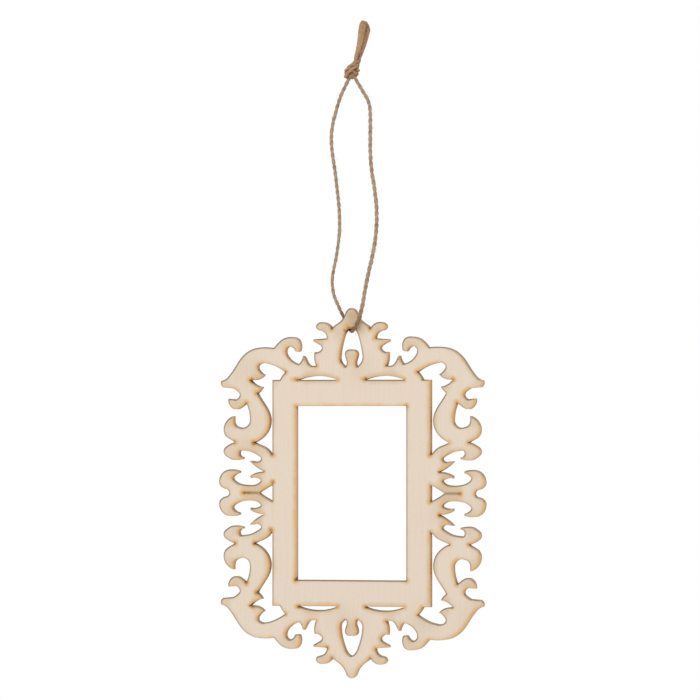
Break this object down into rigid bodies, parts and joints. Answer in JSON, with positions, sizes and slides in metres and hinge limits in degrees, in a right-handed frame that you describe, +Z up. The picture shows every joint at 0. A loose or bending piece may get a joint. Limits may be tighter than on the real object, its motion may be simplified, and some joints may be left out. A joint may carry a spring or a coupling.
{
  "type": "hanging ornamental picture frame",
  "caption": "Flat laser-cut plywood picture frame with scrolled fretwork round a rectangular opening, hung on a knotted loop of jute twine.",
  "frame": {"origin": "middle of the panel and of its thickness", "axes": "+Z up along the panel's height, +X to the viewer's right, -Y out of the panel's front face"},
  "size_m": [0.0932, 0.0066, 0.2216],
  "materials": {
    "plywood": "bare birch plywood, laser cut, with browned edges",
    "jute": "two-ply twisted jute, undyed"
  },
  "bodies": {
    "root": {"frame_panel": "plywood", "twine_loop": "jute", "twine_knot": "jute", "twine_tail_front": "jute", "twine_tail_back": "jute"}
  },
  "joints": []
}
